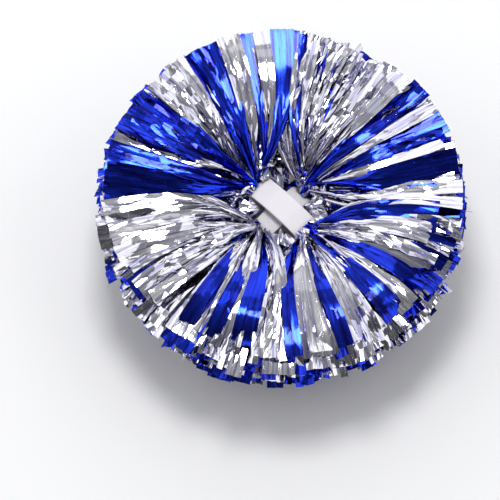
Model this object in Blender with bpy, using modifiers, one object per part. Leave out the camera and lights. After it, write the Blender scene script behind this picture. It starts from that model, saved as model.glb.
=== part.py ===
"""Cheer pom pom: a white plastic hand grip with gathered bundles of blue and silver film.

The pom rests on a table with its grip upwards. The origin is on the table under the centre,
X runs along the grip band and Y along the cross band. All sizes are in metres.
"""
import math

import bmesh
import bpy
from mathutils import Matrix, Vector

# The whole pom
POM_RADIUS = 0.162        # from the centre to the cut ends of the strands
SECTORS = 12              # tufts of strands around the pom, three to a bundle
SECTOR_HALF_ANGLE = math.radians(11.5)
CLEARANCE = 0.0003        # between touching pieces

# Core disc, which both bands are riveted to
DISC_RADIUS = 0.0365
DISC_BOTTOM = 0.050
DISC_THICKNESS = 0.004
DISC_TOP = DISC_BOTTOM + DISC_THICKNESS
DISC_SEGMENTS = 48

# Grip band, along X: half length, top height, width, thickness
GRIP_REACH = 0.035
GRIP_TOP = 0.094
GRIP_WIDTH = 0.024
GRIP_THICKNESS = 0.003
GRIP_CROWN = 0.003        # how far its flat middle stands above its shoulders

# Cross band, along Y, under the grip band
CROSS_REACH = 0.030
CROSS_TOP = 0.084
CROSS_WIDTH = 0.021
CROSS_THICKNESS = 0.0025
CROSS_CROWN = 0.003

FLAT_HALF_LENGTH = 0.012  # of the flat middle of both bands
FOOT_LENGTH = 0.0135      # of each band's foot, turned inwards on the disc
FOOT_BEND = 0.0035        # bend radii along a band's middle line
SHOULDER_BEND = 0.009
CROWN_BEND = 0.030
LEG_LEAN = 0.0025         # a band's shoulders stand this far inside its legs
BAND_EDGE_ROUND = 0.0008

# Snap rivets through the feet and the disc
RIVET_FROM_LEG = 0.0088
RIVET_SHANK_RADIUS = 0.0018
RIVET_HEAD_RADIUS = 0.0034
RIVET_HEAD_HEIGHT = 0.0014
RIVET_TAIL_RADIUS = 0.0029
RIVET_TAIL_HEIGHT = 0.001
RIVET_SEGMENTS = 16

# Bundles of strands, each gathered by a cable tie at the end of a band
BUNDLE_HEIGHT = 0.080     # of the middle of a bundle's neck
NECK_RADIUS = 0.0095
NECK_LENGTH = 0.0055
FAN_RADIUS = 0.0525       # where the fixed part of the bundle ends
FAN_HALF_HEIGHT = 0.012
FAN_HALF_ANGLE = math.radians(39)
BUNDLE_SIDES = 20         # points round a bundle's cross-section
BUNDLE_GAP = 0.0012       # from the outside of a band's leg to the bundle
TIE_INSET = 0.0007        # from the start of the bundle to the edge of its tie
TIE_WIDTH = 0.004
TIE_THICKNESS = 0.0013
TIE_CLEARANCE = 0.0009    # between the tie and the neck, which is slightly flattened
TIE_SEGMENTS = 24
TIE_HEAD = (0.0045, 0.006, 0.0035)    # its locking head, along and across the strap, and its depth

# Tufts: three petals of strands stand on each other at a hinge line inside the film
HINGE_RADIUS = 0.050
HINGE_HEIGHT = 0.080
PETAL_ROOT_RADIUS = 0.0585
PETAL_ROOT_THICKNESS = 0.006
PETAL_TIP_THICKNESS = 0.015
PETAL_STEPS_OUT = 5
PETAL_STEPS_ACROSS = 3
# layer: height of the middle at the root, at the tip, and how far it bows up between them
PETAL_LAYERS = {
    "top": (0.0894, 0.1165, 0.007),
    "middle": (0.0802, 0.0730, 0.011),
    "low": (0.0710, 0.0290, 0.011),
}

# Strands folded under the core, which the pom stands on
UNDER_TOP = 0.0475
UNDER_TOP_RADIUS = 0.044
UNDER_BOTTOM_RADIUS = 0.064
UNDER_INNER_RADIUS = 0.004
UNDER_QUARTERS = 4
UNDER_HALF_ANGLE = math.radians(43)
UNDER_EDGE_ROUND = 0.003

BLUE = (0.004, 0.045, 0.72, 1.0)
SILVER = (0.80, 0.81, 0.84, 1.0)
WHITE = (0.82, 0.80, 0.84, 1.0)


def clear_scene():
    """Remove the objects and leftover data that a new file starts with."""
    for item in list(bpy.data.objects):
        bpy.data.objects.remove(item, do_unlink=True)
    for mesh in list(bpy.data.meshes):
        bpy.data.meshes.remove(mesh)


def new_collection(name):
    collection = bpy.data.collections.new(name)
    bpy.context.scene.collection.children.link(collection)
    return collection


def new_material(name, colour, roughness, metallic):
    material = bpy.data.materials.new(name)
    material.use_nodes = True
    shader = material.node_tree.nodes["Principled BSDF"]
    shader.inputs["Base Color"].default_value = colour
    shader.inputs["Roughness"].default_value = roughness
    shader.inputs["Metallic"].default_value = metallic
    material.diffuse_color = colour
    return material


def add_part(name, shape, material, collection, smooth=True):
    """Turn a bmesh into a named object with its own material."""
    bmesh.ops.recalc_face_normals(shape, faces=shape.faces)
    mesh = bpy.data.meshes.new(name)
    shape.to_mesh(mesh)
    shape.free()
    if smooth:
        mesh.shade_smooth()
        mesh.set_sharp_from_angle(angle=math.radians(35))
    mesh.materials.append(material)
    part = bpy.data.objects.new(name, mesh)
    collection.objects.link(part)
    return part


def add_cutter(name, radius, height, place, collection):
    """A cylinder that cuts a hole along Z."""
    shape = bmesh.new()
    bmesh.ops.create_cone(
        shape, cap_ends=True, segments=RIVET_SEGMENTS, radius1=radius, radius2=radius, depth=height
    )
    mesh = bpy.data.meshes.new(name)
    shape.to_mesh(mesh)
    shape.free()
    cutter = bpy.data.objects.new(name, mesh)
    cutter.location = place
    cutter.hide_render = True
    cutter.display_type = "WIRE"
    collection.objects.link(cutter)
    return cutter


def add_boolean(part, other, operation):
    modifier = part.modifiers.new(operation.lower(), "BOOLEAN")
    modifier.operation = operation
    modifier.solver = "EXACT"
    modifier.object = other


def rounded_path(corners, bends, steps=5):
    """Points along a line through the corners, with an arc of its own radius at each inner corner."""
    points = [Vector(corners[0])]
    for before, corner, after, radius in zip(corners, corners[1:], corners[2:], bends):
        corner = Vector(corner)
        inward = (Vector(before) - corner).normalized()
        outward = (Vector(after) - corner).normalized()
        half_corner = inward.angle(outward) / 2
        start = corner + inward * (radius / math.tan(half_corner))
        end = corner + outward * (radius / math.tan(half_corner))
        centre = corner + (inward + outward).normalized() * (radius / math.sin(half_corner))
        for step in range(steps + 1):
            arm = (start - centre).lerp(end - centre, step / steps).normalized()
            points.append(centre + arm * radius)
    points.append(Vector(corners[-1]))
    return points


def make_band(name, reach, top, crown, width, thickness, turn, material, collection):
    """A strap bent into an arch, with both feet turned inwards on the disc, along X then turned."""
    foot = DISC_TOP + CLEARANCE + thickness / 2
    middle = top - thickness / 2
    leg = reach - thickness / 2
    shoulder = leg - LEG_LEAN
    corners = [
        (reach - FOOT_LENGTH, foot),
        (leg, foot),
        (shoulder, middle - crown),
        (FLAT_HALF_LENGTH, middle),
    ]
    corners += [(-x, z) for x, z in reversed(corners)]
    shoulder_bend = min(SHOULDER_BEND, (middle - foot) * 0.4)
    bends = [FOOT_BEND, shoulder_bend, CROWN_BEND]
    path = rounded_path(corners, bends + bends[::-1])

    shape = bmesh.new()
    bmesh.ops.create_grid(shape, x_segments=len(path) - 1, y_segments=1, size=1)
    for vert in shape.verts:
        step = round((vert.co.x + 1) / 2 * (len(path) - 1))
        x, z = path[step]
        vert.co = Vector((x, vert.co.y * width / 2, z))
    part = add_part(name, shape, material, collection)
    part.rotation_euler.z = turn
    solidify = part.modifiers.new("thickness", "SOLIDIFY")
    solidify.thickness = thickness
    solidify.offset = 0
    solidify.use_even_offset = True
    bevel = part.modifiers.new("rounded edges", "BEVEL")
    bevel.width = BAND_EDGE_ROUND
    bevel.segments = 2
    bevel.limit_method = "ANGLE"
    bevel.angle_limit = math.radians(60)
    return part


def make_disc(material, collection):
    shape = bmesh.new()
    bmesh.ops.create_cone(
        shape, cap_ends=True, segments=DISC_SEGMENTS,
        radius1=DISC_RADIUS, radius2=DISC_RADIUS, depth=DISC_THICKNESS,
    )
    disc = add_part("core_disc", shape, material, collection)
    disc.location.z = DISC_BOTTOM + DISC_THICKNESS / 2
    bevel = disc.modifiers.new("rounded edges", "BEVEL")
    bevel.width = BAND_EDGE_ROUND
    bevel.segments = 2
    bevel.limit_method = "ANGLE"
    return disc


def make_rivet(name, place, foot_thickness, material, collection):
    """A turned snap rivet: domed head on the foot, shank, and a peened tail under the disc."""
    head_bottom = DISC_TOP + foot_thickness + 2 * CLEARANCE
    head_top = head_bottom + RIVET_HEAD_HEIGHT
    tail_top = DISC_BOTTOM - CLEARANCE
    profile = [
        (0, head_top),
        (RIVET_HEAD_RADIUS * 0.6, head_top - RIVET_HEAD_HEIGHT * 0.15),
        (RIVET_HEAD_RADIUS, head_top - RIVET_HEAD_HEIGHT * 0.65),
        (RIVET_HEAD_RADIUS, head_bottom),
        (RIVET_SHANK_RADIUS, head_bottom),
        (RIVET_SHANK_RADIUS, tail_top),
        (RIVET_TAIL_RADIUS, tail_top),
        (RIVET_TAIL_RADIUS * 0.8, tail_top - RIVET_TAIL_HEIGHT),
        (0, tail_top - RIVET_TAIL_HEIGHT),
    ]
    shape = bmesh.new()
    verts = [shape.verts.new((x, 0, z)) for x, z in profile]
    for first, second in zip(verts, verts[1:]):
        shape.edges.new((first, second))
    rivet = add_part(name, shape, material, collection, smooth=False)
    rivet.location = (place.x, place.y, 0)
    screw = rivet.modifiers.new("turned", "SCREW")
    screw.steps = RIVET_SEGMENTS
    screw.render_steps = RIVET_SEGMENTS
    screw.use_merge_vertices = True
    screw.merge_threshold = 0.00001
    screw.use_smooth_shade = True
    return rivet


def make_bundle_root(name, start, turn, material, collection):
    """The fixed root of a bundle: a round neck that opens into a flat fan of strands."""
    tie_end = start + NECK_LENGTH
    sections = [
        (start, NECK_RADIUS / start, NECK_RADIUS),
        (tie_end, NECK_RADIUS / tie_end, NECK_RADIUS),
        ((tie_end + FAN_RADIUS) / 2, FAN_HALF_ANGLE * 0.6, FAN_HALF_HEIGHT * 0.95),
        (FAN_RADIUS, FAN_HALF_ANGLE, FAN_HALF_HEIGHT),
    ]
    shape = bmesh.new()
    rims = []
    for radius, half_angle, half_height in sections:
        ring = bmesh.ops.create_circle(shape, segments=BUNDLE_SIDES, radius=1)["verts"]
        rims.append([edge for edge in shape.edges if edge.verts[0] in ring])
        for vert in ring:
            angle = vert.co.x * half_angle
            height = BUNDLE_HEIGHT + vert.co.y * half_height
            vert.co = Vector((radius * math.cos(angle), radius * math.sin(angle), height))
    for first, second in zip(rims, rims[1:]):
        bmesh.ops.bridge_loops(shape, edges=first + second)
    bmesh.ops.holes_fill(shape, edges=rims[0] + rims[-1])
    bmesh.ops.triangulate(shape, faces=[face for face in shape.faces if len(face.verts) > 4])
    root = add_part(name, shape, material, collection)
    root.rotation_euler.z = turn
    return root


def make_cable_tie(name, start, turn, material, collection, cutters):
    """A flat strap closed round the neck of a bundle, with its locking head underneath."""
    shape = bmesh.new()
    bmesh.ops.create_circle(shape, segments=TIE_SEGMENTS, radius=NECK_RADIUS + TIE_CLEARANCE)
    swept = bmesh.ops.extrude_edge_only(shape, edges=list(shape.edges))
    far_rim = [item for item in swept["geom"] if isinstance(item, bmesh.types.BMVert)]
    bmesh.ops.translate(shape, verts=far_rim, vec=(0, 0, TIE_WIDTH))
    upright = Matrix.Rotation(math.radians(90), 4, "Y")
    bmesh.ops.transform(shape, matrix=upright, verts=shape.verts)
    bmesh.ops.translate(shape, verts=shape.verts, vec=(start + TIE_INSET, 0, BUNDLE_HEIGHT))
    tie = add_part(name, shape, material, collection)
    tie.rotation_euler.z = turn
    solidify = tie.modifiers.new("thickness", "SOLIDIFY")
    solidify.thickness = TIE_THICKNESS
    solidify.offset = 1

    shape = bmesh.new()
    bmesh.ops.create_cube(shape, size=1)
    bmesh.ops.scale(shape, verts=shape.verts, vec=TIE_HEAD)
    drop = NECK_RADIUS + TIE_CLEARANCE + TIE_HEAD[2] / 2 + CLEARANCE
    middle = (start + TIE_INSET + TIE_WIDTH / 2, 0, BUNDLE_HEIGHT - drop)
    bmesh.ops.translate(shape, verts=shape.verts, vec=middle)
    mesh = bpy.data.meshes.new(name + "_head")
    shape.to_mesh(mesh)
    shape.free()
    head = bpy.data.objects.new(name + "_head", mesh)
    head.rotation_euler.z = turn
    head.hide_render = True
    head.display_type = "WIRE"
    cutters.objects.link(head)
    add_boolean(tie, head, "UNION")
    return tie


def make_petal(name, layer, hinge, material, collection):
    """A curved wedge of strands, flared from its root to its cut ends, hung on the tuft's hinge."""
    root_height, tip_height, bow = PETAL_LAYERS[layer]
    shape = bmesh.new()
    bmesh.ops.create_grid(shape, x_segments=PETAL_STEPS_OUT, y_segments=PETAL_STEPS_ACROSS, size=1)
    outwards = {}
    for vert in shape.verts:
        out = (vert.co.x + 1) / 2
        angle = vert.co.y * SECTOR_HALF_ANGLE
        tip_radius = POM_RADIUS - PETAL_TIP_THICKNESS * abs(tip_height - root_height) / POM_RADIUS
        radius = PETAL_ROOT_RADIUS + (tip_radius - PETAL_ROOT_RADIUS) * out
        height = root_height + (tip_height - root_height) * out + bow * 4 * out * (1 - out)
        outwards[vert.index] = out
        vert.co = Vector(
            (
                radius * math.cos(angle) - HINGE_RADIUS,
                radius * math.sin(angle),
                height - HINGE_HEIGHT,
            )
        )
    petal = add_part(name, shape, material, collection)
    petal.parent = hinge
    flare = petal.vertex_groups.new(name="flare")
    for index, out in outwards.items():
        flare.add([index], out, "REPLACE")
    solidify = petal.modifiers.new("thickness", "SOLIDIFY")
    solidify.thickness = PETAL_TIP_THICKNESS
    solidify.offset = 0
    solidify.vertex_group = "flare"
    solidify.thickness_vertex_group = PETAL_ROOT_THICKNESS / PETAL_TIP_THICKNESS
    return petal


def make_hinge(number, collection):
    """The empty at a tuft's flexing root, with X outwards and its axis along -Y."""
    angle = 2 * math.pi * number / SECTORS
    hinge = bpy.data.objects.new(f"tuft_{number:02d}_hinge", None)
    hinge.empty_display_size = 0.01
    hinge.location = (HINGE_RADIUS * math.cos(angle), HINGE_RADIUS * math.sin(angle), HINGE_HEIGHT)
    hinge.rotation_euler.z = angle
    collection.objects.link(hinge)
    return hinge


def make_under_tuft(name, turn, material, collection):
    """A quarter of the crushed strands under the core, wider at the table than at the disc."""
    shape = bmesh.new()
    bmesh.ops.create_grid(shape, x_segments=2, y_segments=6, size=1)
    lower = list(shape.verts)
    raised = bmesh.ops.extrude_face_region(shape, geom=list(shape.faces))["geom"]
    upper = [item for item in raised if isinstance(item, bmesh.types.BMVert)]
    for verts, height, outer in ((lower, 0, UNDER_BOTTOM_RADIUS), (upper, UNDER_TOP, UNDER_TOP_RADIUS)):
        for vert in verts:
            out = (vert.co.x + 1) / 2
            angle = vert.co.y * UNDER_HALF_ANGLE
            radius = UNDER_INNER_RADIUS + (outer - UNDER_INNER_RADIUS) * out
            vert.co = Vector((radius * math.cos(angle), radius * math.sin(angle), height))
    tuft = add_part(name, shape, material, collection)
    tuft.rotation_euler.z = turn
    bevel = tuft.modifiers.new("rounded edges", "BEVEL")
    bevel.width = UNDER_EDGE_ROUND
    bevel.segments = 1
    bevel.limit_method = "ANGLE"
    bevel.angle_limit = math.radians(50)
    return tuft


def main():
    clear_scene()
    parts = new_collection("cheer_pom_pom")
    cutters = new_collection("cutters")
    white = new_material("white_plastic", WHITE, 0.35, 0.0)
    clear = new_material("tie_nylon", WHITE, 0.45, 0.0)
    film = {
        "blue": new_material("blue_film", BLUE, 0.25, 1.0),
        "silver": new_material("silver_film", SILVER, 0.18, 1.0),
    }

    disc = make_disc(white, parts)
    grip = make_band(
        "grip_band", GRIP_REACH, GRIP_TOP, GRIP_CROWN, GRIP_WIDTH, GRIP_THICKNESS, 0, white, parts
    )
    cross = make_band(
        "cross_band", CROSS_REACH, CROSS_TOP, CROSS_CROWN, CROSS_WIDTH, CROSS_THICKNESS,
        math.pi / 2, white, parts,
    )

    for arm in range(4):
        turn = arm * math.pi / 2
        direction = Vector((math.cos(turn), math.sin(turn), 0))
        along_grip = arm % 2 == 0
        band = grip if along_grip else cross
        reach = GRIP_REACH if along_grip else CROSS_REACH
        foot_thickness = GRIP_THICKNESS if along_grip else CROSS_THICKNESS

        place = direction * (reach - RIVET_FROM_LEG)
        hole_height = 2 * (DISC_THICKNESS + foot_thickness)
        hole = add_cutter(
            f"rivet_hole_{arm}", RIVET_SHANK_RADIUS + CLEARANCE, hole_height,
            place + Vector((0, 0, DISC_TOP)), cutters,
        )
        add_boolean(disc, hole, "DIFFERENCE")
        add_boolean(band, hole, "DIFFERENCE")
        make_rivet(f"rivet_{arm}", place, foot_thickness, white, parts)

        start = reach + BUNDLE_GAP
        colour = film["silver"] if along_grip else film["blue"]
        make_bundle_root(f"bundle_root_{arm}", start, turn, colour, parts)
        make_cable_tie(f"cable_tie_{arm}", start, turn, clear, parts, cutters)

    for quarter in range(UNDER_QUARTERS):
        turn = 2 * math.pi * (quarter + 0.5) / UNDER_QUARTERS
        colour = film["blue"] if quarter % 2 else film["silver"]
        make_under_tuft(f"under_tuft_{quarter}", turn, colour, parts)

    for number in range(SECTORS):
        hinge = make_hinge(number, parts)
        for level, layer in enumerate(PETAL_LAYERS):
            colour = film["blue"] if (number + level) % 2 else film["silver"]
            make_petal(f"tuft_{number:02d}_{layer}", layer, hinge, colour, parts)


main()
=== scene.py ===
import math

import bpy
import numpy as np
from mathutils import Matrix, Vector


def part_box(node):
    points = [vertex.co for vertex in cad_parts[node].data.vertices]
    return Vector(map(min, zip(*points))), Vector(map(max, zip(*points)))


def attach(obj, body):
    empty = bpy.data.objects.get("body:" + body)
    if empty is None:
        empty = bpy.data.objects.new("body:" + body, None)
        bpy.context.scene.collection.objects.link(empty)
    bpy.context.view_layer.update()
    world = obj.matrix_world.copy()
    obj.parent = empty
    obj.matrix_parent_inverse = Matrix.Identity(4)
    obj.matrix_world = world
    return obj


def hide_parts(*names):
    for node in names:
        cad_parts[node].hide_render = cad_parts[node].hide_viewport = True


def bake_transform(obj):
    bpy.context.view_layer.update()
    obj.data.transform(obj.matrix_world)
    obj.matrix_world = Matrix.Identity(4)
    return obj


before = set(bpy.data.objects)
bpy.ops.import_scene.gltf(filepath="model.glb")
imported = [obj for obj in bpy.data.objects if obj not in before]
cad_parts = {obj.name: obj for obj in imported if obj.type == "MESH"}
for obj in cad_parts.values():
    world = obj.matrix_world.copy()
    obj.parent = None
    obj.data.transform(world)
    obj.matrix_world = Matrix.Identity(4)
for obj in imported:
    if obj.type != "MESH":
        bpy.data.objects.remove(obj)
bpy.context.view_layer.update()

# Film strips
STRIP_WIDTH = 0.0072
STEPS_ALONG = 14              # faces along a strip
SHINGLE = 0.00025             # each strip of a lock lies this far above its neighbour
ROOT_SPREAD = 0.12            # share of their full spacing that a lock's strips have at its root
TIP_SPREAD = 0.87             # and how much of it they gain on the way to its tip
PLEAT = 76                    # degrees that a strip is folded along its middle at its root
PLEAT_OPENS = 75              # and how much of that opens out
FLAT_JITTER = 0.00006         # unevenness of a smooth lock, and how much more a crumpled one has
CRUMPLED_JITTER = 0.0009
BROAD_FACETS = 0.0045         # height of the broad facets in crumpled locks
FACETS_FROM = 0.3             # crumple above which a lock has them
FLAT_SHADED_FROM = 0.6        # crumple from which a lock's faces show as separate facets

# The film's surface
CREASE_SCALE = (230, 75)      # creased facets in a metre across and along the strips
CREASE_STRENGTH = 1.0
LEAST_CREASED = 0.1           # share of the creases that a smooth lock shows
CREASED_BY_CRUMPLE = 6        # how fast that share grows with crumple, up to all of them
STREAK_SCALE = (300, 14)      # streaks of painted shade in a metre across and along the strips
STREAK_RANGE = (0.32, 0.62)   # the noise values that give all painted shade and all the film's own colour
# The darker streak colours are painted shade standing for dark reflections
BLUE_PAINTED_SHADE = (0.012, 0.008, 0.20)
BLUE_LIGHT = (0.016, 0.054, 0.84)
# The silver one is also tinted lavender-blue as a painted reflection of the blue strands
SILVER_PAINTED_SHADE_AND_BLUE_REFLECTION = (0.39, 0.38, 0.60)
SILVER_LIGHT = (0.91, 0.90, 0.93)

# Rows of strands from the top of the pom down: tip height, tip radius, height of the roots above
# the bundle's middle, slope at the root and at the tip, locks in a sector, longest droop of a tip
ROWS = [
    (0.1165, 0.155, 0.0105, 0.42, 0.02, 5, 0.002),
    (0.1120, 0.158, 0.0095, 0.38, 0.00, 7, 0.005),
    (0.1055, 0.161, 0.0080, 0.32, -0.04, 8, 0.010),
    (0.0970, 0.162, 0.0060, 0.25, -0.08, 8, 0.017),
    (0.0870, 0.161, 0.0035, 0.18, -0.12, 8, 0.019),
    (0.0760, 0.157, 0.0010, 0.10, -0.18, 8, 0.019),
    (0.0640, 0.151, -0.0020, 0.00, -0.24, 7, 0.018),
    (0.0510, 0.144, -0.0045, -0.12, -0.32, 7, 0.015),
    (0.0380, 0.137, -0.0070, -0.25, -0.40, 6, 0.009),
    (0.0260, 0.131, -0.0095, -0.40, -0.45, 5, 0.003),
]
WIDE_ROWS = 3                 # the uppermost rows, with the widest and flattest locks
WIDE_LOCKS = ((1, 2, 3, 4), (0.28, 0.38, 0.22, 0.12))    # strips in their locks, and how often
OTHER_LOCKS = ((1, 2, 3), (0.42, 0.38, 0.20))
CRUMPLES = (0.15, 0.4, 0.9)   # how crumpled a lock may be
WIDE_CRUMPLES = (0.55, 0.23, 0.22)                        # how often each of them occurs
OTHER_CRUMPLES = (0.45, 0.30, 0.25)
BROAD_ROLL = 14               # usual roll of the tips of locks of three or more strips, in degrees
NARROW_ROLL = 34              # and of the narrower ones
BACK_AZIMUTH = 135            # the side where the rim stands highest
RIM_TILT = 0.0055             # how much higher it stands there than at the sides
DROOP_FROM = 0.76             # share of a strand's length after which its tip droops
FRONT_AZIMUTH = 315           # the side where the top strands' ends hang over the rim
FRONT_DROOP = 0.013
FRONT_RAGGED = 0.004          # how unevenly long they are there

SECTORS = 12
SECTOR_STEP = 360 / SECTORS

# Share of blue strands by azimuth of the sector's middle
BLUE_SHARE = {
    0: 0.34, 30: 0.32, 60: 0.36, 90: 0.26, 120: 0.30, 150: 0.46,
    180: 0.48, 210: 0.62, 240: 0.18, 270: 0.26, 300: 0.24, 330: 0.27,
}

LOW_ROWS_FROM = 4             # from this row down the share of blue is larger by the next number
LOW_ROWS_BLUE = 0.32

# Wide locks that lie on top: azimuth, colour, strips, tip radius, crumple, and a light card. Each
# slopes and rolls at its tip towards where it would mirror that card to the camera, within limits.
PANELS = [
    (135, "blue", 3, 0.158, 0.0, "key"),
    (142, "silver", 2, 0.157, 0.0, "far_wall"),
    (147, "blue", 2, 0.157, 0.0, "key"),
    (153, "silver", 3, 0.157, 0.3, "far_wall"),
    (129, "blue", 2, 0.157, 0.1, "near_dark"),
    (123, "silver", 4, 0.157, 0.6, "near_dark"),
    (112, "silver", 4, 0.152, 1.0, "near_dark"),
    (104, "silver", 4, 0.148, 1.0, "grey_band"),
    (97, "silver", 2, 0.156, 0.2, "left_wall"),
    (91, "silver", 3, 0.156, 0.0, "far_wall"),
    (84, "blue", 3, 0.160, 0.3, "left_wall"),
    (76, "silver", 2, 0.158, 0.2, "far_wall"),
    (70, "blue", 3, 0.158, 0.1, "key"),
    (64, "silver", 2, 0.148, 0.0, "far_wall"),
    (60, "silver", 2, 0.157, 0.0, "left_wall"),
    (55, "blue", 4, 0.157, 0.1, "near_dark"),
    (47, "silver", 2, 0.158, 0.5, "grey_band"),
    (41, "silver", 2, 0.158, 0.1, "far_wall"),
    (35, "blue", 4, 0.138, 0.2, "left_wall"),
    (28, "silver", 3, 0.135, 0.3, "grey_band"),
    (22, "silver", 4, 0.148, 0.8, "far_wall"),
    (16, "silver", 2, 0.146, 0.2, "left_wall"),
    (9, "blue", 2, 0.150, 0.2, "near_dark"),
    (3, "silver", 3, 0.140, 0.0, "far_wall"),
    (356, "blue", 3, 0.150, 0.1, "key"),
    (345, "silver", 5, 0.152, 0.1, "far_wall"),
    (336, "blue", 2, 0.154, 0.3, "near_dark"),
    (327, "silver", 4, 0.154, 0.0, "far_wall"),
    (319, "blue", 2, 0.154, 0.2, "key"),
    (314, "silver", 2, 0.155, 0.1, "far_wall"),
    (309, "silver", 3, 0.155, 0.8, "grey_band"),
    (301, "blue", 3, 0.144, 0.1, "key"),
    (295, "silver", 3, 0.144, 0.3, "far_wall"),
    (290, "blue", 2, 0.146, 0.3, "near_dark"),
    (285, "silver", 2, 0.148, 0.1, "far_wall"),
    (280, "blue", 2, 0.146, 0.1, "near_dark"),
    (276, "silver", 3, 0.146, 0.1, "far_wall"),
    (266, "silver", 2, 0.150, 0.4, "grey_band"),
    (258, "silver", 4, 0.142, 0.7, "far_wall"),
    (249, "silver", 5, 0.150, 0.6, "far_wall"),
    (240, "silver", 3, 0.155, 0.5, "grey_band"),
    (232, "silver", 3, 0.157, 0.4, "right_wall"),
    (221, "blue", 5, 0.156, 0.5, "near_dark"),
    (212, "blue", 4, 0.158, 0.5, "right_wall"),
    (205, "silver", 2, 0.156, 0.4, "right_wall"),
    (198, "blue", 4, 0.158, 0.6, "far_wall"),
    (190, "blue", 3, 0.158, 0.6, "right_wall"),
    (178, "silver", 5, 0.156, 1.0, "grey_band"),
    (171, "silver", 2, 0.157, 0.1, "far_wall"),
    (167, "blue", 3, 0.157, 0.1, "near_dark"),
    (162, "blue", 3, 0.157, 0.4, "key"),
    (158, "blue", 2, 0.157, 0.1, "near_dark"),
]
PANEL_TIP_HEIGHT = 0.1210
PANEL_ROOT_LIFT = 0.0120
PANEL_LEAVES = 0.50           # slope at the root, where the tip is level or slopes down
PANEL_LEAVES_STEEPER = 1.3    # and how much is added for each unit of upward slope at the tip
PANEL_WAVER = 0.25            # how unevenly they lie, as a share of what the other locks do
MOST_SLOPE = 0.28             # limit of the slope at the tip
MOST_ROLL = 38                # degrees that a lock may turn about its length at its tip

# Short locks near the grip: azimuth, colour, strips, tip radius, tip height, crumple, roll
SHORT_LOCKS = [
    (118, "blue", 3, 0.062, 0.094, 0.6, 20),
    (74, "blue", 3, 0.068, 0.096, 0.3, 10),
    (262, "silver", 3, 0.112, 0.117, 0.2, -18),
    (318, "blue", 2, 0.078, 0.098, 0.5, -25),
    (330, "silver", 2, 0.066, 0.097, 0.9, 15),
    (225, "silver", 3, 0.062, 0.092, 1.0, -10),
    (140, "silver", 3, 0.058, 0.092, 1.0, 15),
    (48, "silver", 3, 0.060, 0.092, 1.0, -15),
]
SHORT_LOCK_SLOPES = (0.50, 0.02)    # at the root and at the tip

# Crumpled film between the ends of the bands
RUFFLE_LAYERS = 3
RUFFLE_HALF_ANGLE = 47        # degrees to each side of a band's end
RUFFLE_DROP = 0.006           # from one layer to the one below
RUFFLE_REACH = 0.062
RUFFLE_GAP = 0.0022           # from the bands to the film
RUFFLE_HEIGHT = 0.0060        # above the bundle's middle, before the crown is added
RUFFLE_CROWN = 0.0065
RUFFLE_CRUMPLE = 0.0019
DEEP_GAP = 250                # azimuth of a narrow dip in the film, where one sees in under the grip
DEEP_GAP_HALF = 16            # degrees to each side
DEEP_GAP_DROP = 0.012
SCRAPS = 10                   # short loose strips on each arm's film
COLLAR_STRIPS = 9             # short strips that lie over each band's end
COLLAR_INSET = 0.0065         # from the bundle's start in to where they begin

# Strands folded under the core
UNDER_QUARTERS = 4
UNDER_ROWS = [(0.132, 0.0030, 7), (0.105, 0.0020, 7), (0.075, 0.0012, 6)]    # reach, height, pairs of locks
UNDER_OWN_COLOUR = 0.6        # share of locks in the quarter's own colour
LOWEST_STRAND = 0.0004        # above the table

# Light cards: azimuth, elevation, distance, width and height, radiance
CARDS = {
    "key": (150, 80, 2.0, (0.58, 0.58), 16.0),
    "far_wall": (135, 38, 2.2, (2.3, 1.05), 0.93),
    "grey_band": (135, 60, 2.2, (1.5, 0.28), 0.28),
    "left_wall": (225, 50, 2.1, (1.3, 1.0), 0.92),
    "right_wall": (45, 52, 2.1, (1.3, 1.0), 0.92),
    "far_left": (187, 30, 2.2, (0.8, 0.9), 0.7),
    "far_right": (83, 30, 2.2, (0.8, 0.9), 0.7),
    "near_left": (260, 34, 2.2, (0.9, 0.8), 1.1),
    "near_right": (8, 36, 2.2, (0.9, 0.8), 1.1),
    "near_dark": (315, 48, 2.1, (0.9, 0.5), 0.03),
    "near_low": (315, 16, 2.2, (2.4, 0.6), 1.2),
    "left_low": (225, 12, 2.2, (1.8, 0.7), 2.0),
    "right_low": (45, 12, 2.2, (1.8, 0.7), 1.8),
}
WORLD_COLOUR = (0.96, 0.97, 1.0)
WORLD_FAR = 0.46              # radiance of the room behind the pom and on the camera's side
WORLD_NEAR = 0.09
WORLD_RAMP = (-0.3, 0.9)      # where it starts and ends changing, as a cosine to its far direction
WORLD_FAR_ELEVATION = 30
CAMERA_AZIMUTH = 315
CAMERA_ELEVATION = 65
CAMERA_DISTANCE = 3.5
CAMERA_AIM = (-0.028, -0.0395)    # rightwards and upwards in the picture from the grip's top
LENS = 287

FLOOR_COLOUR = (0.96, 0.96, 0.97)
FLOOR_HALF_SIZE = 15.0
FLOOR_HEIGHT = -0.0005

random = np.random.default_rng(20)


# ---------------------------------------------------------------- materials

def node(tree, kind, **inputs):
    """A new shader node, with the named inputs set."""
    made = tree.nodes.new(kind)
    for name, value in inputs.items():
        made.inputs[name.replace("_", " ")].default_value = value
    return made


def new_material(name, colour, roughness, metallic):
    """A material, its node tree and its Principled shader."""
    material = bpy.data.materials.new(name)
    material.use_nodes = True
    shader = material.node_tree.nodes["Principled BSDF"]
    shader.inputs["Base Color"].default_value = (*colour, 1)
    shader.inputs["Roughness"].default_value = roughness
    shader.inputs["Metallic"].default_value = metallic
    return material, material.node_tree, shader


def mix_colours(tree, factor, first, second):
    """A colour that goes from first to second with the factor output."""
    mix = tree.nodes.new("ShaderNodeMix")
    mix.data_type = "RGBA"
    tree.links.new(factor, mix.inputs["Factor"])
    mix.inputs["A"].default_value = (*first, 1)
    mix.inputs["B"].default_value = (*second, 1)
    return mix.outputs["Result"]


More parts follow.
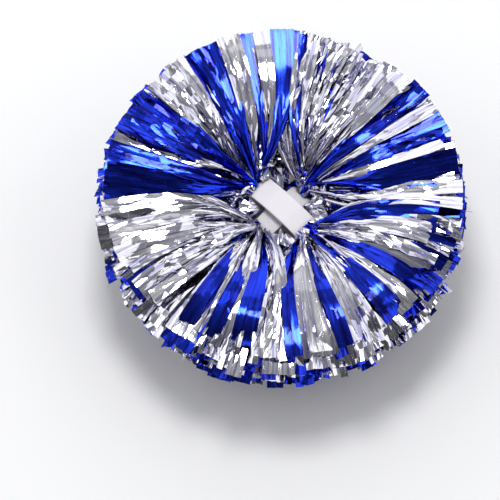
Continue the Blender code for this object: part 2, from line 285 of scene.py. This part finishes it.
def scaled_uv(tree, scale):
    """Place on the strips, with its own scale across and along them, per metre."""
    uv = tree.nodes.new("ShaderNodeUVMap")
    uv.uv_map = "strips"
    stretch = tree.nodes.new("ShaderNodeVectorMath")
    stretch.operation = "MULTIPLY"
    stretch.inputs[1].default_value = (*scale, 1)
    tree.links.new(uv.outputs["UV"], stretch.inputs[0])
    return stretch.outputs["Vector"]


def stretched_noise(tree, scale, detail):
    """Noise with its own scale across and along the strips."""
    noise = node(tree, "ShaderNodeTexNoise", Scale=1.0, Detail=detail)
    tree.links.new(scaled_uv(tree, scale), noise.inputs["Vector"])
    return noise.outputs["Fac"]


def creased_facets(tree, scale):
    """Height of a surface of flat facets, each tilted its own way, with creases between them."""
    place = scaled_uv(tree, scale)
    cells = node(tree, "ShaderNodeTexVoronoi", Scale=1.0)
    tree.links.new(place, cells.inputs["Vector"])
    offset = tree.nodes.new("ShaderNodeVectorMath")
    offset.operation = "SUBTRACT"
    tree.links.new(place, offset.inputs[0])
    tree.links.new(cells.outputs["Position"], offset.inputs[1])
    tilt = tree.nodes.new("ShaderNodeVectorMath")
    tilt.operation = "SUBTRACT"
    tilt.inputs[1].default_value = (0.5, 0.5, 0.5)
    tree.links.new(cells.outputs["Color"], tilt.inputs[0])
    height = tree.nodes.new("ShaderNodeVectorMath")
    height.operation = "DOT_PRODUCT"
    tree.links.new(offset.outputs["Vector"], height.inputs[0])
    tree.links.new(tilt.outputs["Vector"], height.inputs[1])
    return height.outputs["Value"]


def film_material(name, dark, light, roughness, coat):
    """Metallised film: mirror-like, with streaks of painted shade along each strip (on silver also a
    painted reflection of the blue strands) and creased facets.
    """
    material, tree, shader = new_material(name, light, roughness, 1.0)
    shader.inputs["Coat Weight"].default_value = coat
    shader.inputs["Coat Roughness"].default_value = 0.04

    streaks = tree.nodes.new("ShaderNodeMapRange")
    streaks.inputs["From Min"].default_value = STREAK_RANGE[0]
    streaks.inputs["From Max"].default_value = STREAK_RANGE[1]
    tree.links.new(stretched_noise(tree, STREAK_SCALE, 3.0), streaks.inputs["Value"])
    streaks = streaks.outputs["Result"]
    # Painted shade: the streaks mix the darker colour into the film's own colour, and on silver its
    # lavender-blue is a painted reflection of the blue strands
    tree.links.new(mix_colours(tree, streaks, dark, light), shader.inputs["Base Color"])
    rough = tree.nodes.new("ShaderNodeMapRange")
    rough.inputs["To Min"].default_value = roughness * 0.5
    rough.inputs["To Max"].default_value = roughness * 1.5
    tree.links.new(streaks, rough.inputs["Value"])
    tree.links.new(rough.outputs["Result"], shader.inputs["Roughness"])

    creased = tree.nodes.new("ShaderNodeAttribute")
    creased.attribute_name = "creased"
    height = tree.nodes.new("ShaderNodeMath")
    height.operation = "MULTIPLY"
    tree.links.new(creased_facets(tree, CREASE_SCALE), height.inputs[0])
    tree.links.new(creased.outputs["Fac"], height.inputs[1])
    bump = node(tree, "ShaderNodeBump", Strength=CREASE_STRENGTH, Distance=0.001)
    tree.links.new(height.outputs["Value"], bump.inputs["Height"])
    tree.links.new(bump.outputs["Normal"], shader.inputs["Normal"])
    return material


def plastic_material(name, colour, shade, roughness, grain):
    """Moulded plastic with a faint mottle and a fine moulded grain."""
    material, tree, shader = new_material(name, colour, roughness, 0.0)
    place = tree.nodes.new("ShaderNodeTexCoord")
    mottle = node(tree, "ShaderNodeTexNoise", Scale=60.0, Detail=4.0)
    tree.links.new(place.outputs["Object"], mottle.inputs["Vector"])
    tree.links.new(mix_colours(tree, mottle.outputs["Fac"], shade, colour), shader.inputs["Base Color"])
    fine = node(tree, "ShaderNodeTexNoise", Scale=900.0, Detail=2.0)
    tree.links.new(place.outputs["Object"], fine.inputs["Vector"])
    bump = node(tree, "ShaderNodeBump", Strength=grain, Distance=0.0002)
    tree.links.new(fine.outputs["Fac"], bump.inputs["Height"])
    tree.links.new(bump.outputs["Normal"], shader.inputs["Normal"])
    shader.inputs["Subsurface Weight"].default_value = 0.08
    shader.inputs["Subsurface Scale"].default_value = 0.004
    return material


# ---------------------------------------------------------------- directions and places

def smooth_step(t, start, end):
    """0 before start, 1 after end, and a smooth rise between them."""
    t = np.clip((t - start) / (end - start), 0, 1)
    return t * t * (3 - 2 * t)


def unit(vectors):
    return vectors / np.linalg.norm(vectors, axis=-1)[..., None]


def direction(azimuth, elevation=0.0):
    """The unit vector with this azimuth and elevation, in degrees."""
    turn, rise = math.radians(azimuth), math.radians(elevation)
    flat = math.cos(rise)
    return np.array([flat * math.cos(turn), flat * math.sin(turn), math.sin(rise)])


def bundle_anchor(arm):
    """Inner radius and middle height of a bundle, from its CAD solid."""
    corners = [np.array(corner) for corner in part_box(f"bundle_root_{arm}")]
    radius = min(corner @ direction(90 * arm) for corner in corners)
    return radius, (corners[0][2] + corners[1][2]) / 2


ANCHORS = {90 * arm: bundle_anchor(arm) for arm in range(4)}
TO_CAMERA = direction(CAMERA_AZIMUTH, CAMERA_ELEVATION)


def anchor_of(azimuth):
    """Azimuth of the bundle that a strand at this azimuth comes from."""
    return round((azimuth % 360) / 90) % 4 * 90


def off_axis_of(azimuth, base):
    """Degrees from base to azimuth, from -180 to 180."""
    return (azimuth - base + 180) % 360 - 180


def facing_to_mirror(card):
    """The direction that film faces where it mirrors the card's middle to the camera."""
    card_azimuth, card_elevation = CARDS[card][:2]
    return unit(TO_CAMERA + direction(card_azimuth, card_elevation))


def slope_to_mirror(azimuth, card):
    """How steeply a lock rises outwards at its tip to mirror the card, within MOST_SLOPE."""
    wanted = facing_to_mirror(card)
    slope = -(wanted @ direction(azimuth)) / wanted[2]
    return max(-MOST_SLOPE, min(MOST_SLOPE, slope))


def roll_to_mirror(azimuth, card):
    """How far a lock turns about its length at its tip to mirror the card, within MOST_ROLL."""
    wanted = facing_to_mirror(card)
    along = unit(direction(azimuth) + (0, 0, slope_to_mirror(azimuth, card)))
    across = unit(np.cross(along, [0, 0, 1.0]))
    up = np.cross(across, along)
    roll = math.degrees(math.atan2(-(wanted @ across), wanted @ up))
    return max(-MOST_ROLL, min(MOST_ROLL, roll))


def rim_rise(azimuth):
    """How much higher the rim stands here than at the sides."""
    return RIM_TILT * math.cos(math.radians(azimuth - BACK_AZIMUTH))


# ---------------------------------------------------------------- strands

class Film:
    """Collects the strips of one colour and one body, to make one mesh of them."""

    def __init__(self):
        self.points = []
        self.faces = []
        self.uvs = []
        self.smooth = []
        self.creased = []
        self.area = 0.0
        self.width = 0.0
        self.count = 0

    def add(self, grid, width, lengths, smooth, creased=1.0):
        """Add a strip, or another sheet, from a grid of points along and across it.

        lengths is the distance along it at each row of the grid. creased is the share of the
        creases that its surface shows.
        """
        rows, columns, _ = grid.shape
        first = self.count
        self.points.append(grid.reshape(-1, 3))
        self.count += rows * columns
        across = self.width * 1.5 + width * np.arange(columns) / (columns - 1)
        for i in range(rows - 1):
            for j in range(columns - 1):
                a = first + i * columns + j
                self.faces.append((a, a + 1, a + 1 + columns, a + columns))
                self.uvs += [
                    (across[j], lengths[i]), (across[j + 1], lengths[i]),
                    (across[j + 1], lengths[i + 1]), (across[j], lengths[i + 1]),
                ]
                self.smooth.append(smooth)
                self.creased.append(creased)
        self.area += width * lengths[-1]
        self.width += width

    def make(self, name, material):
        """Make the collected strips into one object."""
        mesh = bpy.data.meshes.new(name)
        mesh.from_pydata(np.concatenate(self.points).tolist(), [], self.faces)
        mesh.polygons.foreach_set("use_smooth", np.array(self.smooth, dtype=bool))
        layer = mesh.uv_layers.new(name="strips")
        layer.data.foreach_set("uv", np.array(self.uvs, dtype=np.float32).ravel())
        creased = mesh.attributes.new("creased", "FLOAT", "FACE")
        creased.data.foreach_set("value", self.creased)
        mesh.materials.append(material)
        mesh.update()
        piece = bpy.data.objects.new(name, mesh)
        bpy.context.scene.collection.objects.link(piece)
        return piece


def lock_path(root, tip, leave, arrive, t):
    """Middle line of a lock: a smooth curve that leaves its root and arrives at its tip as told."""
    reach = np.linalg.norm(tip - root)
    t = t[:, None]
    line = (2 * t**3 - 3 * t**2 + 1) * root + (3 * t**2 - 2 * t**3) * tip
    return line + (t**3 - 2 * t**2 + t) * leave * reach + (t**3 - t**2) * arrive * reach


def crease_profile(t):
    """A run of straight slopes between a few creases across the lock."""
    creases = np.sort(random.uniform(0.2, 1.0, 3))
    knots = np.concatenate([[0, 0.1], creases, [1.01]])
    heights = np.concatenate([[0, 0], random.normal(0, 1, 4)])
    return np.interp(t, knots, heights)


def broad_facets(rows, columns):
    """Random heights on a coarse grid, joined by flat slopes, over rows along and columns across."""
    coarse = random.normal(0, 1, (5, 3))
    along = np.linspace(0, 4, rows)
    across = np.linspace(0, 2, columns)
    stretched = np.array([np.interp(across, range(3), row) for row in coarse])
    return np.array([np.interp(along, range(5), column) for column in stretched.T]).T


def weave_lock(film, line, strips, crumple, roll, root_roll, open_by):
    """Strips side by side along a line, pleated and close at its root and spread out at its tip.

    They turn about the line from root_roll at its root to roll at its tip.
    """
    t = np.linspace(0, 1, len(line))
    step_lengths = np.linalg.norm(np.diff(line, axis=0), axis=1)
    lengths = np.concatenate([[0], np.cumsum(step_lengths)])
    tangent = unit(np.gradient(line, axis=0))
    across = unit(np.cross(tangent, [0, 0, 1.0]))
    normal = np.cross(across, tangent)

    rolled = np.radians(root_roll + (roll - root_roll) * smooth_step(t, 0.0, open_by))
    wide = across * np.cos(rolled)[:, None] + normal * np.sin(rolled)[:, None]
    proud = np.cross(wide, tangent)

    spread = ROOT_SPREAD + TIP_SPREAD * smooth_step(t, 0.0, 1.0) ** 0.85
    fold = np.radians(PLEAT - PLEAT_OPENS * smooth_step(t, 0.0, open_by + 0.1))
    wave = crease_profile(t) * random.uniform(0.0003, 0.0016)
    columns = 2 * strips + 1
    jitter = random.normal(0, 1, (len(t), columns)) * (FLAT_JITTER + CRUMPLED_JITTER * crumple)
    jitter += broad_facets(len(t), columns) * BROAD_FACETS * max(0, crumple - FACETS_FROM)
    jitter *= smooth_step(t, 0.02, 0.3)[:, None]
    slant = random.uniform(-1, 1)
    smooth = crumple < FLAT_SHADED_FROM
    creased = min(1, LEAST_CREASED + CREASED_BY_CRUMPLE * crumple)

    for number in range(strips):
        middle = (number - (strips - 1) / 2) * STRIP_WIDTH * spread
        tilt = math.radians(random.normal(0, 1 + 9 * crumple))
        ridge = random.choice([-1, 1])
        cut = abs(random.normal(0, 0.006)) + 0.006 * slant * number / strips
        grid = np.empty((len(t), 3, 3))
        for column, place in enumerate((-1, 0, 1)):
            half = STRIP_WIDTH / 2 * np.cos(fold)
            lift = STRIP_WIDTH / 2 * np.sin(fold) * ridge * (0.5 - abs(place))
            lift = lift + wave + jitter[:, 2 * number + column] + number * SHINGLE
            lift = lift + place * half * math.tan(tilt)
            offset = middle + place * half
            grid[:, column] = line + wide * offset[:, None] + proud * lift[:, None]
        # Neighbouring strips end a little unevenly, along a slanted cut
        grid[-1] = grid[-2] + (grid[-1] - grid[-2]) * (1 - cut * STEPS_ALONG)
        film.add(grid, STRIP_WIDTH, lengths, smooth, creased)


def add_lock(
    film, azimuth, tip_height, tip_radius, root_lift, slopes, strips, crumple, roll, droop=0.0, waver=1.0,
):
    """A lock that leaves its bundle steeply rolled, and reaches its tip spread out."""
    base = anchor_of(azimuth)
    off_axis = off_axis_of(azimuth, base)
    radius, height = ANCHORS[base]
    root = direction(base + off_axis * 0.3 + random.normal(0, 3)) * (radius + random.uniform(-0.001, 0.003))
    root[2] = height + root_lift + random.normal(0, 0.001)
    tip = direction(azimuth) * tip_radius
    tip[2] = tip_height
    sideways = 1.3 + 0.55 * (off_axis / 45) ** 2
    leave = direction(base + off_axis * sideways + random.normal(0, 4))
    leave[2] = slopes[0] + random.normal(0, 0.09) * waver
    arrive = direction(azimuth + random.normal(0, 4))
    arrive[2] = slopes[1] + random.normal(0, 0.11) * waver
    t = np.linspace(0, 1, STEPS_ALONG + 1)
    line = lock_path(root, tip, leave, arrive, t)
    line[:, 2] -= droop * np.clip((t - DROOP_FROM) / (1 - DROOP_FROM), 0, 1) ** 2
    root_roll = random.choice([-1, 1]) * random.uniform(50, 85)
    weave_lock(film, line, strips, crumple, roll, root_roll, open_by=random.uniform(0.35, 0.6))


def lock_kind(row):
    """Strips in a lock, how crumpled it is, and how far it rolls at its tip."""
    counts, how_often = WIDE_LOCKS if row < WIDE_ROWS else OTHER_LOCKS
    strips = int(random.choice(counts, p=how_often))
    crumple = random.choice(CRUMPLES, p=WIDE_CRUMPLES if row < WIDE_ROWS else OTHER_CRUMPLES)
    return strips, crumple, random.normal(0, BROAD_ROLL if strips > 2 else NARROW_ROLL)


def front_share(azimuth):
    """1 at the front of the pom, 0 from a quarter turn away."""
    return smooth_step(math.cos(math.radians(azimuth - FRONT_AZIMUTH)), 0.0, 0.9)


def fill_sector(films, number):
    """All the strands of one tuft, row by row."""
    middle = number * SECTOR_STEP
    share = BLUE_SHARE[round(middle)]
    for row, (tip_height, tip_radius, root_lift, leave, arrive, locks, droop) in enumerate(ROWS):
        row_share = share + (LOW_ROWS_BLUE if row >= LOW_ROWS_FROM else 0)
        for place in range(locks):
            azimuth = middle + SECTOR_STEP * ((place + random.uniform(0.1, 0.9)) / locks - 0.5)
            colour = "blue" if random.uniform() < row_share else "silver"
            rise = rim_rise(azimuth) * smooth_step(tip_height, 0.03, 0.09)
            height = tip_height + random.normal(0, 0.002) + rise
            front = front_share(azimuth) * (row < WIDE_ROWS)
            add_lock(
                films[colour], azimuth, height,
                tip_radius + random.normal(0, 0.002 + FRONT_RAGGED * front), root_lift,
                (leave, arrive), *lock_kind(row), droop=(droop + FRONT_DROOP * front) * random.uniform(),
            )


def make_tufts(materials):
    """The strips of each tuft, in one piece of each colour, reaching out from its bundle."""
    for number in range(SECTORS):
        films = {"blue": Film(), "silver": Film()}
        fill_sector(films, number)
        for azimuth, colour, strips, radius, crumple, card in PANELS:
            if round(azimuth / SECTOR_STEP) % SECTORS == number:
                slope = slope_to_mirror(azimuth, card)
                leave = PANEL_LEAVES + max(0, slope) * PANEL_LEAVES_STEEPER
                add_lock(
                    films[colour], azimuth, PANEL_TIP_HEIGHT + rim_rise(azimuth), radius,
                    PANEL_ROOT_LIFT, (leave, slope), strips, crumple, roll_to_mirror(azimuth, card),
                    droop=FRONT_DROOP * front_share(azimuth) * random.uniform(0.2, 1.0),
                    waver=PANEL_WAVER,
                )
        body = f"tuft_{number:02d}"
        for colour, film in films.items():
            piece = film.make(f"strands_{number:02d}_{colour}", materials[colour])
            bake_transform(piece)
            nodes = [
                f"{body}_{layer}" for level, layer in enumerate(("top", "middle", "low"))
                if (number + level) % 2 == (colour == "blue")
            ]
            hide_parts(*nodes)


# ---------------------------------------------------------------- film round the grip

def ruffle_edge(azimuth, base):
    """Where the film between the bands begins: round the bands' sides, or past a band's end."""
    half_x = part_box("cross_band")[1][0] + RUFFLE_GAP
    half_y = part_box("grip_band")[1][1] + RUFFLE_GAP
    out = direction(azimuth)
    corner = max(half_x / max(abs(out[0]), 0.01), half_y / max(abs(out[1]), 0.01))
    return min(corner, ANCHORS[base][0] + 0.001)


def add_ruffle(film, base, layer):
    """A crumpled layer of film round one band's end, as far as half-way to the next ones."""
    radius, height = ANCHORS[base]
    azimuths = base + np.linspace(-RUFFLE_HALF_ANGLE, RUFFLE_HALF_ANGLE, 12)
    outs = np.linspace(0, 1, 6)
    grid = np.empty((len(outs), len(azimuths), 3))
    for j, azimuth in enumerate(azimuths):
        start = ruffle_edge(azimuth, base) + 0.0015 * layer
        for i, out in enumerate(outs):
            point = direction(azimuth) * (start + (RUFFLE_REACH - start) * out)
            crown = math.sin(math.pi * min(1, out * 1.4 + 0.12))
            point[2] = height + RUFFLE_HEIGHT + RUFFLE_CROWN * crown - RUFFLE_DROP * layer
            if abs(off_axis_of(azimuth, DEEP_GAP)) < DEEP_GAP_HALF:
                point[2] -= DEEP_GAP_DROP * (1 - out) ** 5
            grid[i, j] = point
    loose = smooth_step(outs, 0.0, 0.15)[:, None, None] * 0.6 + 0.4
    grid += random.normal(0, RUFFLE_CRUMPLE, grid.shape) * loose * (0.55, 0.55, 1.0)
    width = math.radians(2 * RUFFLE_HALF_ANGLE) * (radius + RUFFLE_REACH) / 2
    lengths = outs * (RUFFLE_REACH - radius + 0.008)
    film.add(grid, width, lengths, smooth=False)


def add_scrap(film, base):
    """A short strip that lies crumpled over the ruffle."""
    radius, height = ANCHORS[base]
    side = random.choice([-1, 1])
    azimuth = base + side * random.uniform(14, 44)
    start = direction(azimuth) * random.uniform(0.031, 0.040)
    start[2] = height + random.uniform(0.003, 0.008)
    heading = direction(azimuth + random.uniform(-70, 70))
    end = start + heading * random.uniform(0.012, 0.026)
    end[2] = height + random.uniform(0.006, 0.013)
    t = np.linspace(0, 1, 6)
    line = lock_path(start, end, heading + (0, 0, 0.4), heading, t)
    roll = random.uniform(-60, 60)
    weave_lock(film, line, int(random.choice([1, 2])), 0.25, roll, roll, open_by=0.5)


def add_collar(film, base):
    """A short strip from on top of a band's end out over the start of its strands."""
    radius, height = ANCHORS[base]
    band = "grip_band" if base % 180 == 0 else "cross_band"
    azimuth = base + random.uniform(-20, 20)
    start = direction(azimuth) * (radius - COLLAR_INSET)
    start[2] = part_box(band)[1][2] - random.uniform(0.0, 0.0012)
    heading = direction(azimuth + random.uniform(-30, 30))
    end = start + heading * random.uniform(0.016, 0.032)
    end[2] = height + random.uniform(0.0125, 0.0175)
    t = np.linspace(0, 1, 7)
    line = lock_path(start, end, heading + (0, 0, 0.1), heading, t)
    roll = random.normal(0, 28)
    weave_lock(film, line, 1, 0.12, roll, roll + random.normal(0, 20), open_by=0.3)


def make_gathers(materials):
    """The gathered film at each band's end, which the strands come out of."""
    for arm in range(4):
        base = 90 * arm
        own = "blue" if arm % 2 else "silver"
        films = {"blue": Film(), "silver": Film()}
        for layer in range(RUFFLE_LAYERS):
            add_ruffle(films["silver" if layer == 0 else own], base, layer)
        for number in range(SCRAPS):
            add_scrap(films["blue" if number % 4 == 0 else "silver"], base)
        for number in range(COLLAR_STRIPS):
            add_collar(films["blue" if number % 3 == 0 else "silver"], base)
        for azimuth, colour, strips, radius, height, crumple, roll in SHORT_LOCKS:
            if anchor_of(azimuth) == base:
                add_lock(
                    films[colour], azimuth, height, radius, PANEL_ROOT_LIFT, SHORT_LOCK_SLOPES,
                    strips, crumple, roll,
                )
        for colour, film in films.items():
            piece = film.make(f"gather_{arm}_{colour}", materials[colour])
            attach(piece, "root")
            if colour == own:
                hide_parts(f"bundle_root_{arm}")


def make_under_strands(materials):
    """The strands folded under the core, which come down from it and fan out on the table."""
    quarter = 360 / UNDER_QUARTERS
    for number in range(UNDER_QUARTERS):
        middle = quarter * (number + 0.5)
        own, other = ("blue", "silver") if number % 2 else ("silver", "blue")
        films = {"blue": Film(), "silver": Film()}
        for reach, height, pairs in UNDER_ROWS:
            for place in range(2 * pairs):
                azimuth = middle + quarter * ((place + random.uniform(0, 1)) / (2 * pairs) - 0.5)
                colour = own if random.uniform() < UNDER_OWN_COLOUR else other
                root = direction(azimuth) * random.uniform(0.008, 0.03)
                root[2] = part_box("core_disc")[0][2] - 0.004
                tip = direction(azimuth + random.normal(0, 6)) * (reach * random.uniform(0.85, 1.05))
                tip[2] = height + random.uniform(0.0005, 0.004)
                leave = direction(azimuth) * 0.5
                leave[2] = -1.2
                t = np.linspace(0, 1, STEPS_ALONG + 1)
                line = lock_path(root, tip, leave, direction(azimuth) * 1.4, t)
                strips = int(random.choice([2, 3, 4]))
                weave_lock(films[colour], line, strips, 0.15, random.normal(0, 6), 40, open_by=0.5)
        for film in films.values():
            for points in film.points:
                points[:, 2] = np.maximum(points[:, 2], LOWEST_STRAND)
        for colour, film in films.items():
            piece = film.make(f"under_strands_{number}_{colour}", materials[colour])
            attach(piece, "root")
            if colour == own:
                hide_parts(f"under_tuft_{number}")


# ---------------------------------------------------------------- stage, lights, camera

def add_stage():
    """A plain pale floor, just under the lowest strands."""
    mesh = bpy.data.meshes.new("floor")
    half = FLOOR_HALF_SIZE
    corners = [(-half, -half, 0), (half, -half, 0), (half, half, 0), (-half, half, 0)]
    mesh.from_pydata(corners, [], [(0, 1, 2, 3)])
    floor = bpy.data.objects.new("floor", mesh)
    bpy.context.scene.collection.objects.link(floor)
    material = new_material("floor_paper", FLOOR_COLOUR, 0.9, 0.0)[0]
    mesh.materials.append(material)
    floor.location.z = FLOOR_HEIGHT


def add_lights():
    """Large soft cards with darker gaps between them, which the film mirrors."""
    for name, (azimuth, elevation, distance, size, radiance) in CARDS.items():
        data = bpy.data.lights.new(name, "AREA")
        data.shape = "RECTANGLE"
        data.size, data.size_y = size
        data.energy = radiance * math.pi * size[0] * size[1]
        light = bpy.data.objects.new(name, data)
        bpy.context.scene.collection.objects.link(light)
        outwards = Vector(direction(azimuth, elevation))
        light.location = outwards * distance
        light.rotation_euler = outwards.to_track_quat("Z", "Y").to_euler()
        light.visible_camera = False


def add_world():
    """A plain room, brighter behind the pom than on the camera's side."""
    world = bpy.data.worlds.new("studio")
    world.use_nodes = True
    tree = world.node_tree
    place = tree.nodes.new("ShaderNodeTexCoord")
    along = tree.nodes.new("ShaderNodeVectorMath")
    along.operation = "DOT_PRODUCT"
    along.inputs[1].default_value = direction(CAMERA_AZIMUTH + 180, WORLD_FAR_ELEVATION)
    tree.links.new(place.outputs["Generated"], along.inputs[0])
    ramp = tree.nodes.new("ShaderNodeMapRange")
    ramp.inputs["From Min"].default_value = WORLD_RAMP[0]
    ramp.inputs["From Max"].default_value = WORLD_RAMP[1]
    ramp.inputs["To Min"].default_value = WORLD_NEAR
    ramp.inputs["To Max"].default_value = WORLD_FAR
    tree.links.new(along.outputs["Value"], ramp.inputs["Value"])
    background = tree.nodes["Background"]
    background.inputs["Color"].default_value = (*WORLD_COLOUR, 1)
    tree.links.new(ramp.outputs["Result"], background.inputs["Strength"])
    bpy.context.scene.world = world


def add_camera():
    """A long lens from the front, aimed so that the pom stands right of and above the middle."""
    right = Vector(direction(CAMERA_AZIMUTH + 90))
    back = Vector(TO_CAMERA)
    up = back.cross(right)
    grip_top = Vector((0, 0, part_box("grip_band")[1][2]))
    aim = grip_top + right * CAMERA_AIM[0] + up * CAMERA_AIM[1]
    data = bpy.data.cameras.new("camera")
    data.lens = LENS
    data.sensor_width = 36
    camera = bpy.data.objects.new("camera", data)
    bpy.context.scene.collection.objects.link(camera)
    camera.location = aim + back * CAMERA_DISTANCE
    camera.rotation_euler = back.to_track_quat("Z", "Y").to_euler()
    bpy.context.scene.camera = camera


def main():
    materials = {
        # Each film's darker streak colour is painted shade, and on silver also a painted reflection of the
        # blue strands
        "blue": film_material("blue_film", BLUE_PAINTED_SHADE, BLUE_LIGHT, 0.10, 0.10),
        "silver": film_material("silver_film", SILVER_PAINTED_SHADE_AND_BLUE_REFLECTION, SILVER_LIGHT, 0.07, 0.0),
    }
    white = plastic_material("white_plastic", (0.80, 0.77, 0.81), (0.76, 0.73, 0.78), 0.42, 0.15)
    nylon = plastic_material("tie_nylon", (0.80, 0.80, 0.78), (0.72, 0.72, 0.70), 0.45, 0.2)
    for name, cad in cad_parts.items():
        if name.startswith("cable_tie"):
            cad.data.materials[0] = nylon
        elif name.startswith(("grip", "cross", "core", "rivet")):
            cad.data.materials[0] = white
    make_tufts(materials)
    make_gathers(materials)
    make_under_strands(materials)
    add_stage()
    add_lights()
    add_world()
    add_camera()
    bpy.context.scene.view_settings.view_transform = "Standard"


main()
